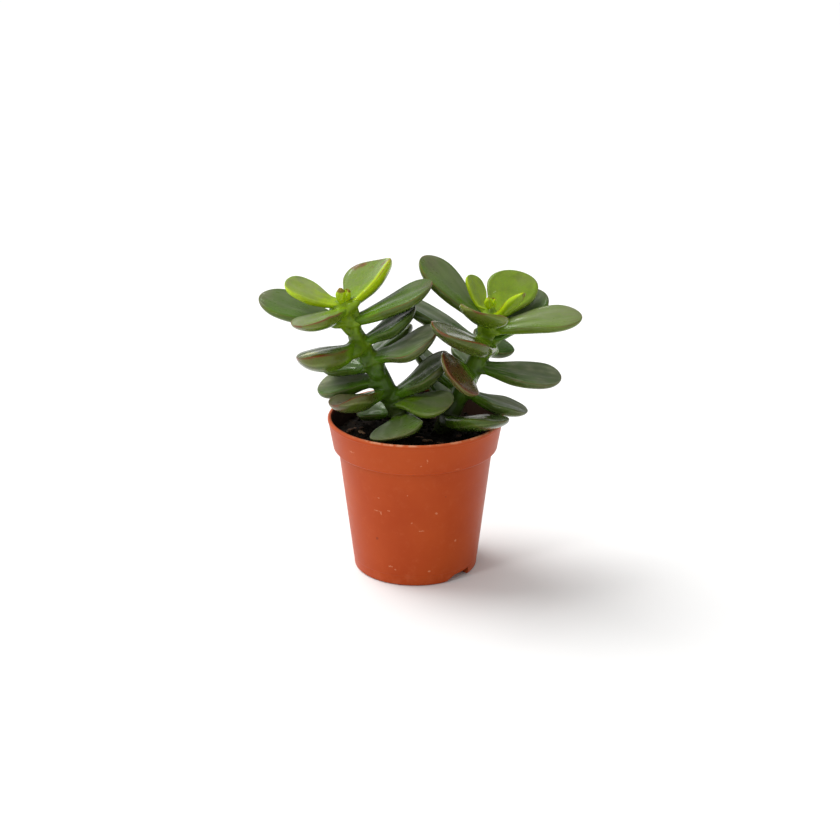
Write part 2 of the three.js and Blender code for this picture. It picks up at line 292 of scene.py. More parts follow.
# %% Spinning a section round the pot's axis
def spin_section(points, steps):
    bm = bmesh.new()
    verts = [bm.verts.new((POT_AXIS.x + r, POT_AXIS.y, z)) for r, z in points]
    edges = [bm.edges.new(pair) for pair in zip(verts, verts[1:])]
    bmesh.ops.spin(
        bm, geom=verts + edges, cent=(POT_AXIS.x, POT_AXIS.y, 0), axis=Z,
        angle=2 * math.pi, steps=steps, use_merge=True)
    bmesh.ops.remove_doubles(bm, verts=bm.verts, dist=SAME_POINT)
    bmesh.ops.recalc_face_normals(bm, faces=bm.faces)
    return bm


def round_edges(bm):
    corners = [e for e in bm.edges if e.calc_face_angle(0) > EDGE_FROM]
    bmesh.ops.bevel(
        bm, geom=corners, offset=EDGE_ROUND, offset_type="OFFSET", segments=EDGE_SEGMENTS,
        profile=0.5, affect="EDGES", material=-1, clamp_overlap=True)


pot_bm = spin_section(pot_section(), POT_STEPS)
round_edges(pot_bm)
print("pot faces", len(pot_bm.faces))

# %% [markdown]
# Water leaves the pot through four holes in its floor and then through two long notches in the foot
# ring. One notch shows at the right of the foot: its left side is slanted and its right side upright.
# The cuts could be modelled face by face. A Boolean with one cutter for each says it more plainly
# and leaves crisp edges, as a moulding tool does.

# %% Notches and drain holes
NOTCH_TURN = math.radians(-47)
NOTCH_OUTLINE = [(6.8, -1), (1.5, 2.1), (-5.1, 2.6), (-5.1, -1)]
NOTCH_DEEP = 5 * MM
DRAINS = 4
DRAIN_RADIUS = 2 * MM
DRAIN_AT = 11 * MM
DRAIN_TURN = math.radians(-2)


def notch_cutter(bm, turn):
    out = Vector((math.cos(turn), math.sin(turn), 0))
    across = Vector((math.sin(turn), -math.cos(turn), 0))
    start = POT_AXIS + out * (FOOT + MM - NOTCH_DEEP)
    ring = [bm.verts.new(start + across * x * MM + Z * z * MM) for x, z in NOTCH_OUTLINE]
    face = bm.faces.new(ring)
    grown = bmesh.ops.extrude_face_region(bm, geom=[face])
    moved = [g for g in grown["geom"] if isinstance(g, bmesh.types.BMVert)]
    bmesh.ops.translate(bm, verts=moved, vec=out * NOTCH_DEEP)


def drain_cutter(bm, turn):
    centre = Vector((POT_AXIS.x + DRAIN_AT * math.cos(turn), DRAIN_AT * math.sin(turn), FLOOR_TOP))
    bmesh.ops.create_cone(
        bm, cap_ends=True, segments=32, radius1=DRAIN_RADIUS, radius2=DRAIN_RADIUS,
        depth=3 * FLOOR_TOP, matrix=Matrix.Translation(centre))


def applied(scratch):
    graph = bpy.context.evaluated_depsgraph_get()
    bm = bmesh.new()
    mesh = bpy.data.meshes.new_from_object(scratch.evaluated_get(graph))
    bm.from_mesh(mesh)
    bpy.data.meshes.remove(mesh)
    return bm


cutter_bm = bmesh.new()
for k in range(2):
    notch_cutter(cutter_bm, NOTCH_TURN + k * math.pi)
for k in range(DRAINS):
    drain_cutter(cutter_bm, DRAIN_TURN + 2 * math.pi * k / DRAINS)
bmesh.ops.recalc_face_normals(cutter_bm, faces=cutter_bm.faces)
cutter = new_object("cutter", cutter_bm)
pot_blank = new_object("pot_blank", pot_bm)
cut = pot_blank.modifiers.new("cut", "BOOLEAN")
cut.operation = "DIFFERENCE"
cut.solver = "EXACT"
cut.object = cutter
pot_bm = applied(pot_blank)
bpy.data.objects.remove(pot_blank)
bpy.data.objects.remove(cutter)
inside_layer = pot_bm.verts.layers.float.new("inside")
for vert in pot_bm.verts:
    reach = math.hypot(vert.co.x - POT_AXIS.x, vert.co.y - POT_AXIS.y)
    within = reach < wall_inside(vert.co.z) + WALL / 3 and vert.co.z > FLOOR_TOP - LIP
    vert[inside_layer] = float(within)
print("pot faces after the cuts", len(pot_bm.faces))

# %% [markdown]
# The plastic is dyed right through, so its colour barely changes, but it isn't clean: there are pale
# scuffs on the collar and the wall, a few dark specks, a bloom of dust near the foot, and a weak
# sheen that follows the mould's polish. The base colour drifts a little with a wide noise. Each scuff
# that can be seen is a patch with a ragged edge, put where it is on the real pot by its turn round
# the axis and its height. The lip has a paler band along its top, which is a painted highlight, and
# patchy rub wear that adds to that painted highlight. The wall inside is darkened below the lip with
# painted shade. A very fine noise gives the surface its soft, leathery reflection.

# %% Plastic
TERRACOTTA = (0.435, 0.064, 0.009)
TERRACOTTA_PALE = (0.530, 0.125, 0.045)
TERRACOTTA_DEEP = (0.390, 0.050, 0.006)
# painted shade on the wall inside the pot, above the compost
INSIDE_PAINTED_SHADE = (0.030, 0.014, 0.009)
SCUFF = (0.64, 0.29, 0.16)
SPECK = (0.16, 0.03, 0.012)
SCUFFS = [
    # turn in degrees, height, half width and half height in mm
    (-137, 44.6, 1.0, 0.28), (-82, 44.4, 0.2, 1.1), (-82, 41.2, 0.5, 0.35), (-86, 43.0, 0.4, 0.2),
    (-121, 25.6, 1.0, 0.16), (-118, 24.9, 0.3, 0.7), (-111, 26.3, 0.5, 0.2), (-119, 30.2, 0.4, 0.2),
    (-93, 22.6, 0.35, 0.35), (-73, 25.6, 0.5, 0.3), (-85, 19.8, 0.7, 0.22), (-54, 14.6, 0.4, 0.4),
    (-113, 6.4, 0.7, 0.35), (-108, 5.6, 0.4, 0.25), (-77, 5.2, 0.5, 0.25), (-60, 40.6, 1.2, 0.15),
    (25, 30.0, 1.2, 0.3), (80, 20.0, 0.4, 0.9), (130, 38.0, 1.1, 0.25), (170, 15.0, 0.4, 0.6),
]
SPECKS = [(-124, 15.6, 0.45, 0.45), (-66, 31.0, 0.25, 0.25), (60, 12.0, 0.3, 0.3)]


def patch(net, ragged, turn, height, half_wide, half_high):
    height *= MM
    radius = wall_outside(height) if height < shoulder else (COLLAR_FOOT + RIM) / 2
    turn = math.radians(turn)
    centre = Vector((POT_AXIS.x + radius * math.cos(turn), radius * math.sin(turn), height))
    size = Vector((1 / half_wide, 1 / half_wide, 1 / half_high)) / MM
    values = {"Vector": net.place(), "Location": -centre * size, "Scale": size}
    local = net.node("Mapping", values).outputs[0]
    away = net.node("VectorMath", {0: local}, operation="LENGTH").outputs["Value"]
    return net.band(net.maths("ADD", away, ragged), 1.15, 0.75)


def patches(net, spots, ragged):
    total = None
    for spot in spots:
        one = patch(net, ragged, *spot)
        total = one if total is None else net.maths("MAXIMUM", total, one)
    return total


def plastic():
    net = Finish("terracotta_plastic")
    place = net.place()
    height = net.parts(place)[2]
    drift = net.grain(place, 45, 3)
    mottle = net.grain(place, 420, 4, 0.6)
    colour = net.blend(net.band(drift, 0.3, 0.7), TERRACOTTA_DEEP, TERRACOTTA)
    colour = net.blend(net.band(mottle, 0.5, 0.85, 0, 0.25), colour, TERRACOTTA_PALE)
    ragged = net.band(net.grain(place, 1500, 3, 0.7), 0.3, 0.7, -0.5, 0.7)
    scuffed = patches(net, SCUFFS, ragged)
    specked = patches(net, SPECKS, ragged)
    dots = net.band(net.cells(place, 330), 0.085, 0.04)
    some = net.band(net.grain(place, 60, 2), 0.60, 0.66)
    scuffed = net.maths("MAXIMUM", scuffed, net.times(dots, some))
    dusty = net.times(net.band(height, 6 * MM, 0), net.band(mottle, 0.4, 0.7), 0.3)
    colour = net.blend(dusty, colour, TERRACOTTA_PALE)
    # painted highlight: a paler band along the top of the lip
    lip_highlight = net.band(height, POT_TOP - 0.7 * MM, POT_TOP, 0, 0.5)
    colour = net.blend(lip_highlight, colour, TERRACOTTA_PALE)
    # patchy rubs on the lip: rub wear that also adds to the painted highlight on the rim
    rub_and_painted_light = net.band(height, POT_TOP - 0.5 * MM, POT_TOP)
    rub_and_painted_light = net.times(rub_and_painted_light, net.band(drift, 0.42, 0.62), net.band(mottle, 0.35, 0.6))
    colour = net.blend(rub_and_painted_light, colour, SCUFF)
    colour = net.blend(net.times(scuffed, 0.5), colour, SCUFF)
    colour = net.blend(net.times(specked, 0.7), colour, SPECK)
    # painted shade: the wall inside is darkened below the lip
    colour = net.blend(painted_inside_shade(net, height, mottle), colour, INSIDE_PAINTED_SHADE)
    rough = net.band(net.maths("ADD", mottle, scuffed), 0.3, 1.2, 0.38, 0.58)
    fine = net.bump(net.grain(place, 2600, 2), 0.03 * MM, 0.35)
    turned = net.grain(net.scaled(place, (30, 30, 900)), 1, 2)
    normal = net.bump(turned, 0.05 * MM, 0.25, below=fine)
    return net.wear(base_color=colour, roughness=rough, normal=normal, specular_ior_level=0.14)


# painted shade: a mask over the wall inside, below an uneven line under the lip
def painted_inside_shade(net, height, mottle):
    inside = net.node("Attribute", {}, attribute_name="inside").outputs["Fac"]
    uneven = net.maths("ADD", height, net.times(mottle, 1.6 * MM))
    below_lip = net.band(uneven, POT_TOP + 1.0 * MM, POT_TOP - 0.8 * MM)
    return net.times(net.band(inside, 0.4, 0.9), below_lip)


finish_piece("nursery_pot", pot_bm, plastic(), "pot")
print("pot scuffs", len(SCUFFS))

# %% [markdown]
# The pot is filled with black peat compost to a few millimetres below its rim. Its surface is a
# crumbly, uneven mound with pieces of bark in it. A flat disc with a rough material would look
# painted, so the mound is spun with many rings, pushed up and down by the same slow wave as in the
# frame and by a finer noise, and then loose crumbs and bark chips are scattered over it.

# %% The compost's mound
SOIL_TOP = 44.5 * MM
SOIL_GAP = 0.3 * MM
SOIL_EDGE = 1.2 * MM
SOIL_EDGE_DROP = 0.8 * MM
SOIL_STRAIGHT_TO = 39 * MM
SOIL_RINGS = 44
SOIL_STEPS = 132
RELIEF = 0.5 * MM
CLODS = 0.55 * MM


def mound_height(x, y):
    along, deep = (x - POT_AXIS.x) / MM, y / MM
    wave = math.sin(along * 0.9 + 1) * math.cos(deep * 0.8) + 0.6 * math.sin(deep * 1.7)
    lumps = noise.fractal(Vector((along * 0.45, deep * 0.45, 3.1)), 0.8, 2.1, 4)
    return SOIL_TOP + RELIEF * wave + CLODS * lumps


soil_edge = wall_inside(SOIL_TOP) - SOIL_GAP - SOIL_EDGE / 2
soil_section = [
    (0, FLOOR_TOP + SOIL_GAP),
    (wall_inside(FLOOR_TOP) - WALL - SOIL_GAP, FLOOR_TOP + SOIL_GAP),
    (wall_inside(FLOOR_TOP + WALL) - SOIL_GAP, FLOOR_TOP + SOIL_GAP + WALL),
    (wall_inside(SOIL_STRAIGHT_TO) - SOIL_GAP, SOIL_STRAIGHT_TO),
    (soil_edge + SOIL_EDGE / 2, SOIL_TOP - 2 * SOIL_EDGE_DROP),
]
for k in range(SOIL_RINGS + 1):
    soil_section.append((soil_edge * (1 - k / SOIL_RINGS), SOIL_TOP))
soil_bm = spin_section(soil_section, SOIL_STEPS)
for vert in soil_bm.verts:
    if vert.co.z > SOIL_TOP - SOIL_EDGE_DROP:
        reach = math.hypot(vert.co.x - POT_AXIS.x, vert.co.y) / soil_edge
        vert.co.z = mound_height(vert.co.x, vert.co.y) - SOIL_EDGE_DROP * reach**12
print("soil faces", len(soil_bm.faces))


# %% Compost finish
PEAT = (0.0065, 0.0045, 0.003)
PEAT_DRY = (0.026, 0.016, 0.010)
BARK = (0.150, 0.070, 0.034)
BARK_PALE = (0.42, 0.25, 0.14)


def compost():
    net = Finish("peat_compost")
    place = net.place()
    lumps = net.grain(place, 380, 5, 0.65)
    fibre = net.grain(net.scaled(place, (900, 300, 500)), 1, 4, 0.7, 1.5)
    colour = net.blend(net.band(lumps, 0.42, 0.72), PEAT, PEAT_DRY)
    colour = net.blend(net.band(fibre, 0.66, 0.8, 0, 0.5), colour, BARK)
    rough = net.band(lumps, 0.3, 0.7, 0.7, 0.95)
    fine = net.bump(fibre, 0.3 * MM, 0.6)
    normal = net.bump(lumps, 0.8 * MM, 0.8, below=fine)
    return net.wear(base_color=colour, roughness=rough, normal=normal, specular_ior_level=0.15)


def bark():
    net = Finish("bark")
    place = net.place()
    fibre = net.grain(net.scaled(place, (500, 1400, 700)), 1, 4, 0.6, 0.8)
    patchy = net.grain(place, 210, 2)
    colour = net.blend(net.band(fibre, 0.35, 0.65), PEAT_DRY, BARK)
    colour = net.blend(net.band(patchy, 0.5, 0.68, 0, 0.75), colour, BARK_PALE)
    normal = net.bump(fibre, 0.25 * MM, 0.8)
    return net.wear(base_color=colour, roughness=0.8, normal=normal)


peat_finish = compost()
finish_piece("compost", soil_bm, peat_finish, "soil")
print("compost finish", peat_finish.name)

# %% [markdown]
# The crumbs are hundreds of small, blunt lumps, so each is a coarse ball of twenty faces that a
# random scale and turn make unlike the next. The bark chips are fewer and larger: a rounded slab,
# bent by noise and laid nearly flat. Those that can be seen at the front of the pot are placed one
# by one from a list, and the others follow a sunflower's spiral, which spreads them evenly without a
# pattern. Both sources of chance get a seed, so that every run strews the same compost.

# %% Crumbs and bark
CRUMBS = 620
CRUMB_SIZE = (0.22, 0.85)
CHIPS = 18
CHIP_TURN = math.radians(137.5)
CHIP_PHASE = math.radians(100)
CHIP_SIZE = (1.2, 2.3)
CHIP_SHAPE = Vector((1, 0.45, 0.22)) * MM
CHIP_ROUGH = 0.42
SEEN_CHIPS = [
    # across and deep from the pot's axis, half length in mm, turn in degrees
    (0.8, -5.5, 1.6, 20), (-20.5, -0.5, 1.6, 60), (7.7, -10.5, 1.1, 5), (-16.8, -2.4, 1.5, 130),
    (3.2, -7.8, 1.2, -30), (-3.0, -9.5, 1.0, 15), (12.0, -8.6, 1.2, 40), (-19.0, 3.4, 1.1, 85),
]
SEED = 11
dice = random.Random(SEED)
noise.seed_set(SEED)


def crumb(bm, centre, size):
    stretch = Matrix.Diagonal((size * dice.uniform(0.7, 1.3), size, size * dice.uniform(0.5, 0.9), 1))
    turn = Matrix.Rotation(dice.uniform(0, math.tau), 4, Vector((dice.random(), dice.random(), 1)))
    bmesh.ops.create_icosphere(
        bm, subdivisions=1, radius=1, matrix=Matrix.Translation(centre) @ turn @ stretch)


def chip(bm, x, y, half_long, turn):
    slab = bmesh.new()
    bmesh.ops.create_cube(slab, size=2)
    bmesh.ops.subdivide_edges(slab, edges=slab.edges[:], cuts=2, use_grid_fill=True)
    height = mound_height(POT_AXIS.x + x * MM, y * MM) + 0.12 * half_long * MM
    shape = Matrix.Diagonal((*CHIP_SHAPE * half_long, 1))
    lay = Matrix.Rotation(turn, 4, "Z") @ Matrix.Rotation(dice.uniform(-0.3, 0.3), 4, "Y")
    place = Matrix.Translation((POT_AXIS.x + x * MM, y * MM, height))
    for vert in slab.verts:
        rough = noise.noise_vector(vert.co * 1.3 + Vector((x, y, turn)))
        round_off = 1 - 0.16 * (vert.co.length_squared - 1)
        vert.co = place @ lay @ shape @ (vert.co * round_off + CHIP_ROUGH * rough)
    add_bmesh(bm, slab)


def add_bmesh(bm, other):
    mesh = bpy.data.meshes.new("joined")
    other.to_mesh(mesh)
    other.free()
    bm.from_mesh(mesh)
    bpy.data.meshes.remove(mesh)


crumb_bm = bmesh.new()
for k in range(CRUMBS):
    reach = (soil_edge - 0.4 * MM) * math.sqrt(dice.random())
    turn = dice.uniform(0, math.tau)
    x, y = POT_AXIS.x + reach * math.cos(turn), reach * math.sin(turn)
    size = dice.uniform(*CRUMB_SIZE) * dice.random() ** 0.6 * MM
    crumb(crumb_bm, Vector((x, y, mound_height(x, y) + 0.35 * size)), size)
finish_piece("compost_crumbs", crumb_bm, peat_finish, sharp=math.pi)

chip_bm = bmesh.new()
for x, y, half_long, turn in SEEN_CHIPS:
    chip(chip_bm, x, y, half_long, math.radians(turn))
for k in range(CHIPS):
    reach = (soil_edge / MM - 3) * math.sqrt((k + 0.5) / CHIPS)
    turn = CHIP_PHASE + CHIP_TURN * k
    half_long = CHIP_SIZE[0] + (CHIP_SIZE[1] - CHIP_SIZE[0]) * ((k * 0.37) % 1)
    chip(chip_bm, reach * math.cos(turn), reach * math.sin(turn), half_long, k * 2.4)
finish_piece("bark_chips", chip_bm, bark())
print("crumbs", CRUMBS, "chips", CHIPS + len(SEEN_CHIPS))

# %% [markdown]
# A jade leaf is a thick, pointed oval that narrows to a short stalk. Its upper face is nearly flat
# with raised margins, its underside is full and round, and the two meet in a thin rounded edge. In
# the frame each leaf is a coarse ball bent by one formula, so the leaf can be measured back from it:
# the two poles are its base and its tip, and one ring gives its width, thickness, bow and cup.
# Measuring keeps every leaf exactly where the frame has it.

# %% Measuring a leaf in the frame
LEAF_SIDES = 12
LEAF_STEPS = 9
CROWN = 0.25
SQUARENESS = 0.8
BELLY = 0.75
STALK = 0.42
STALK_DEPTH = 0.75
WIDEST_AT = 0.62
THICKEST_AT = 0.4
MEASURE_RING = 5


def smooth(x):
    return x * x * (3 - 2 * x)


def half_width(t):
    if t < WIDEST_AT:
        return STALK + (1 - STALK) * smooth(t / WIDEST_AT)
    return math.sqrt(max(0, 1 - ((t - WIDEST_AT) / (1 - WIDEST_AT)) ** 2.3))


def depth(t):
    if t < THICKEST_AT:
        return STALK_DEPTH + (1 - STALK_DEPTH) * smooth(t / THICKEST_AT)
    return max(0, 1 - ((t - THICKEST_AT) / (1 - THICKEST_AT)) ** 2.4) ** 0.6


def rings_from(pole):
    rings, seen = [[pole]], {pole}
    while True:
        beyond = {e.other_vert(v) for v in rings[-1] for e in v.link_edges} - seen
        if not beyond:
            return rings
        rings.append(sorted(beyond, key=lambda v: v.index))
        seen |= beyond


def farthest_pair(ring):
    pairs = [(a.co, b.co) for a in ring for b in ring if a.index < b.index]
    return max(pairs, key=lambda pair: (pair[0] - pair[1]).length)


def measure_leaf(node):
    bm = merged_copy(node)
    bm.verts.index_update()
    pole = next(v for v in bm.verts if len(v.link_edges) == LEAF_SIDES)
    rings = rings_from(pole)
    widths = [(a - b).length for a, b in (farthest_pair(rings[2]), farthest_pair(rings[-3]))]
    if widths[0] > widths[1]:
        rings.reverse()
    base, tip = rings[0][0].co.copy(), rings[-1][0].co.copy()
    t = (1 - math.cos(math.pi * MEASURE_RING / LEAF_STEPS)) / 2
    ring = rings[MEASURE_RING]
    left, right = farthest_pair(ring)
    middle, across = (left + right) / 2, (left - right).normalized()
    spine = sorted(ring, key=lambda v: abs((v.co - middle).dot(across)))[:2]
    top, under = sorted((v.co for v in spine), key=lambda co: (co - middle).length)
    axis = (tip - base).normalized()
    up = (top - under) - axis * (top - under).dot(axis)
    leaf = {"base": base, "axis": axis, "long": (tip - base).length, "up": up.normalized()}
    leaf["side"] = axis.cross(leaf["up"])
    leaf["wide"] = (left - right).length / half_width(t)
    leaf["thick"] = up.length / depth(t)
    chord = base + axis * leaf["long"] * t
    arch = 4 * t * (1 - t)
    leaf["bow"] = ((top - chord).dot(leaf["up"]) - CROWN * leaf["thick"] * depth(t)) / arch
    lift = (middle - chord).dot(leaf["up"]) - leaf["bow"] * arch
    leaf["cup"] = lift / half_width(t) ** 2
    bm.free()
    return leaf


LEAF_NODES = sorted(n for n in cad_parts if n.startswith("leaf_"))
leaves = {node: measure_leaf(node) for node in LEAF_NODES}
longest = max(leaves, key=lambda n: leaves[n]["long"])
print(len(leaves), "leaves, longest", longest, round(leaves[longest]["long"] / MM, 1), "mm")

# %% [markdown]
# The stems are soft, green and a little swollen where each pair of leaves grows. Every leaf narrows
# to a broad stub that flows into the stem, with no seam. Joining round shapes so smoothly by hand is
# slow. A voxel remesh does it at once: the frame's stem, one blunt stub for each leaf and the sheath
# that runs down the stem below it are laid over each other, remeshed into one skin of facets about a
# quarter of a millimetre wide, and relaxed until the joints are soft. The frame's stem ends in two
# lumps for the bud, which are cut off first and replaced by a dome: the bud's leaves come later.

# %% Stems with their stubs
STEM_SLICES = 60
VOXEL = 0.26 * MM
RELAX = 7
STUB_CENTRE = 0.45
STUB_OUT = 1.2 * MM
STUB_FULL = 1.06
SHEATH_OUT = 0.85
SHEATH_DEEP = 0.45
SHEATH_WIDE = 0.85
SHEATH_TALL = 6.5 * MM
SHEATH_FULL = 1.1
BUD_TALL = {"left": 5.7 * MM, "right": 4.9 * MM}
DOME_TALL = 1.2
BALL_SEGMENTS = 16
BALL_RINGS = 10
UPRIGHT = ((1, 0, 0), (0, 1, 0), (0, 0, 1))


def slice_centre(bm, z):
    thin = bm.copy()
    geom = [*thin.verts, *thin.edges, *thin.faces]
    cut = bmesh.ops.bisect_plane(thin, geom=geom, plane_co=(0, 0, z), plane_no=Z)
    ring = [g.co.copy() for g in cut["geom_cut"] if isinstance(g, bmesh.types.BMVert)]
    thin.free()
    return sum(ring, Vector()) / len(ring)


def stem_line(bm):
    low = min(v.co.z for v in bm.verts)
    high = max(v.co.z for v in bm.verts)
    step = (high - low) / STEM_SLICES
    return [slice_centre(bm, low + step * (k + 0.5)) for k in range(STEM_SLICES)]


def nearest(line, point):
    return min(line, key=lambda p: (p - point).length)


def ellipsoid(bm, middle, half, axes=UPRIGHT):
    place = Matrix.Translation(middle) @ Matrix(axes).transposed().to_4x4() @ Matrix.Diagonal((*half, 1))
    bmesh.ops.create_uvsphere(
        bm, u_segments=BALL_SEGMENTS, v_segments=BALL_RINGS, radius=1, matrix=place)


def stub(bm, leaf):
    reach = leaf["base"] - leaf["heart"]
    along = (reach + leaf["axis"] * STUB_OUT).normalized()
    up = (leaf["up"] - along * leaf["up"].dot(along)).normalized()
    middle = leaf["heart"] + reach * STUB_CENTRE + up * (CROWN - 0.5) * leaf["thick"] * depth(0)
    section = (STALK * leaf["wide"] / 2, depth(0) * leaf["thick"] / 2)
    half = (STUB_FULL * section[0], STUB_FULL * section[1], reach.length + STUB_OUT)
    ellipsoid(bm, middle, half, (along.cross(up), up, along))


def sheath(bm, leaf):
    heart, foot = leaf["heart"], leaf["foot"]
    reach = leaf["base"] - heart
    top = heart + Vector((reach.x, reach.y, 0)) * SHEATH_OUT
    axis = (top - foot).normalized()
    out = (reach - axis * reach.dot(axis)).normalized()
    tall = SHEATH_FULL * (top - foot).length / 2
    half = (SHEATH_DEEP * reach.length, SHEATH_WIDE * STALK * leaf["wide"] / 2, tall)
    ellipsoid(bm, (top + foot) / 2, half, (out, axis.cross(out), axis))


def cap_with_dome(bm, side_name):
    top = max(v.co.z for v in bm.verts) - BUD_TALL[side_name]
    geom = [*bm.verts, *bm.edges, *bm.faces]
    cut = bmesh.ops.bisect_plane(
        bm, geom=geom, plane_co=(0, 0, top), plane_no=Z, clear_outer=True)
    ring = [g for g in cut["geom_cut"] if isinstance(g, bmesh.types.BMEdge)]
    bmesh.ops.holes_fill(bm, edges=ring, sides=0)
    rim = list(dict.fromkeys(v for e in ring for v in e.verts))
    centre = sum((v.co for v in rim), Vector()) / len(rim)
    radius = min((v.co - centre).length for v in rim)
    ellipsoid(bm, centre, (radius, radius, DOME_TALL * radius))
    return centre + Z * DOME_TALL * radius


def grow_stem(side_name):
    bm = merged_copy("stem_" + side_name)
    line = stem_line(bm)
    tip = cap_with_dome(bm, side_name)
    for node, leaf in leaves.items():
        if node.startswith("leaf_" + side_name):
            leaf["heart"] = nearest(line, leaf["base"])
            leaf["foot"] = nearest(line, leaf["heart"] - Z * SHEATH_TALL)
            stub(bm, leaf)
            sheath(bm, leaf)
    blank = new_object("stem_blank", bm)
    remesh = blank.modifiers.new("skin", "REMESH")
    remesh.mode = "VOXEL"
    remesh.voxel_size = VOXEL
    skin = applied(blank)
    bpy.data.objects.remove(blank)
    for _ in range(RELAX):
        bmesh.ops.smooth_vert(
            skin, verts=skin.verts, factor=0.5, use_axis_x=True, use_axis_y=True, use_axis_z=True)
    return skin, tip


stem_skins, stem_tips = {}, {}
for side_name in ("left", "right"):
    stem_skins[side_name], stem_tips[side_name] = grow_stem(side_name)
print("stem faces", {name: len(bm.faces) for name, bm in stem_skins.items()})

# %% [markdown]
# Young stem is the same fresh green as the leaf bases. Lower down it is older, duller and browner,
# with faint lengthwise streaks, and dark near the compost. Height drives the change of colour, and a
# stretched noise gives the streaks.

# %% Stem finish
STEM_FRESH = (0.185, 0.300, 0.006)
STEM_GREEN = (0.050, 0.112, 0.005)
STEM_OLD = (0.030, 0.042, 0.010)
STEM_SCAR = (0.14, 0.11, 0.04)
STEM_DARK_BELOW = 46 * MM
STEM_GREEN_AT = 62 * MM
STEM_FRESH_FROM = 87 * MM


def stem_skin():
    net = Finish("stem_skin")
    place = net.place()
    height = net.parts(place)[2]
    drift = net.grain(place, 240, 3)
    shifted = net.maths("ADD", height, net.band(drift, 0.25, 0.75, -4 * MM, 4 * MM))
    green = net.band(shifted, STEM_DARK_BELOW, STEM_GREEN_AT)
    fresh = net.band(shifted, STEM_GREEN_AT, STEM_FRESH_FROM)
    colour = net.blend(green, STEM_OLD, STEM_GREEN)
    colour = net.blend(fresh, colour, STEM_FRESH)
    patchy = net.grain(place, 420, 3, 0.6)
    colour = net.blend(net.band(patchy, 0.45, 0.75, 0, 0.45), colour, STEM_OLD)
    streak = net.grain(net.scaled(place, (1100, 1100, 220)), 1, 2, 0.5)
    colour = net.blend(net.band(streak, 0.62, 0.8, 0, 0.3), colour, STEM_SCAR)
    rough = net.band(streak, 0.3, 0.7, 0.30, 0.45)
    normal = net.bump(streak, 0.08 * MM, 0.2)
    net.wear(base_color=colour, roughness=rough, normal=normal, specular_ior_level=0.25)
    return net.wear(subsurface_weight=0.12, subsurface_scale=1.5 * MM, subsurface_radius=(0.5, 1, 0.1))


stem_finish = stem_skin()
for side_name, skin in stem_skins.items():
    finish_piece(side_name + "_stem", skin, stem_finish, "stem_" + side_name, sharp=math.pi)
print("stems", ", ".join(sorted(stem_skins)))

# %% [markdown]
# Now the leaves themselves. Each starts as a ball of 64 by 44 facets and its points are moved by the
# same formula as in the frame, so it keeps that form. Then it gets what the coarse solid lacks: the
# stalk runs on into the stem, the upper face has a shallow furrow along its middle and a soft roll
# inside its margin, the blade leans and ripples a little, and its skin is faintly uneven. Such
# small swells break up the highlights on a real leaf.
#
# The finish has to know where it is on the leaf, so every point remembers how far along the leaf it
# is, how far across, counted from the side that faces the camera, and how far up or down.

# %% Growing a leaf
BLADE_SEGMENTS = 64
BLADE_RINGS = 44
STALK_SHARE = 0.13
HEEL = 0.05
INTO_STEM = 0.75
NARROW = 0.15
LEAN = 0.35 * MM
RIPPLE = 0.30 * MM
FURROW = 0.20 * MM
FURROW_WIDTH = 0.18
EDGE_ROLL = 0.18 * MM
EDGE_ROLL_AT = 0.86
EDGE_ROLL_WIDTH = 0.09
UNEVEN = 0.12 * MM
UNEVEN_SCALE = 150
SCAR_EDGE = 1.6
LEAF_MEMORY = ("place", "nature", "marks", "extra")


def leaf_point(leaf, t, across, above, seed):
    shell = CROWN * above if above > 0 else (CROWN - 1) * (-above) ** BELLY
    arch = 4 * t * (1 - t)
    pull = max(0, 1 - t / STALK_SHARE) ** 2
    heel = math.sqrt(1 - max(0, 1 - t / HEEL) ** 2)
    narrow = (1 - NARROW * pull) * heel
    spread = half_width(t) * math.copysign(abs(across) ** SQUARENESS, across) * narrow
    lean = LEAN * math.sin(math.pi * t + seed) * arch
    lift = leaf["thick"] * depth(t) * shell * narrow + leaf["bow"] * arch + leaf["cup"] * spread**2
    lift += RIPPLE * math.sin(7 * t + 5 * seed) * spread * arch
    if above > 0:
        ends = min(1, 2 * arch)
        lift -= FURROW * math.exp(-((across / FURROW_WIDTH) ** 2)) * ends
        lift += EDGE_ROLL * math.exp(-(((abs(across) - EDGE_ROLL_AT) / EDGE_ROLL_WIDTH) ** 2)) * ends
    point = leaf["base"] + leaf["axis"] * leaf["long"] * t
    point = point + leaf["side"] * (leaf["wide"] / 2 * spread + lean) + leaf["up"] * lift
    point = point + (leaf["heart"] - leaf["base"]) * INTO_STEM * pull
    swell = noise.noise(point * UNEVEN_SCALE + Vector((seed, 0, 0)))
    return point + leaf["up"] * UNEVEN * swell * above * min(1, 4 * arch)


def scar_share(scar, t, across):
    along_scar, across_scar, half_along, half_across = scar
    return max(0, SCAR_EDGE - math.hypot((t - along_scar) / half_along, (across - across_scar) / half_across))


def grow_leaf(leaf, nature, marks, seed, glow=0, scar=None):
    bm = bmesh.new()
    bmesh.ops.create_uvsphere(bm, u_segments=BLADE_SEGMENTS, v_segments=BLADE_RINGS, radius=1)
    layers = [bm.verts.layers.float_vector.new("leaf_" + name) for name in LEAF_MEMORY]
    facing = -1 if leaf["side"].y > 0 else 1
    for vert in bm.verts:
        t = min(1, max(0, (1 - vert.co.z) / 2))
        ring = math.hypot(vert.co.x, vert.co.y)
        across, above = (vert.co.x / ring, vert.co.y / ring) if ring > SAME_POINT else (0, 0)
        vert.co = leaf_point(leaf, t, across, above, seed)
        scarred = scar_share(scar, t, across * facing) if scar and above > 0 else 0
        memory = ((t, across * facing, above), nature, marks, (scarred, glow, 0))
        for layer, value in zip(layers, memory):
            vert[layer] = value
    return bm


print("leaf facets", BLADE_SEGMENTS * BLADE_RINGS)
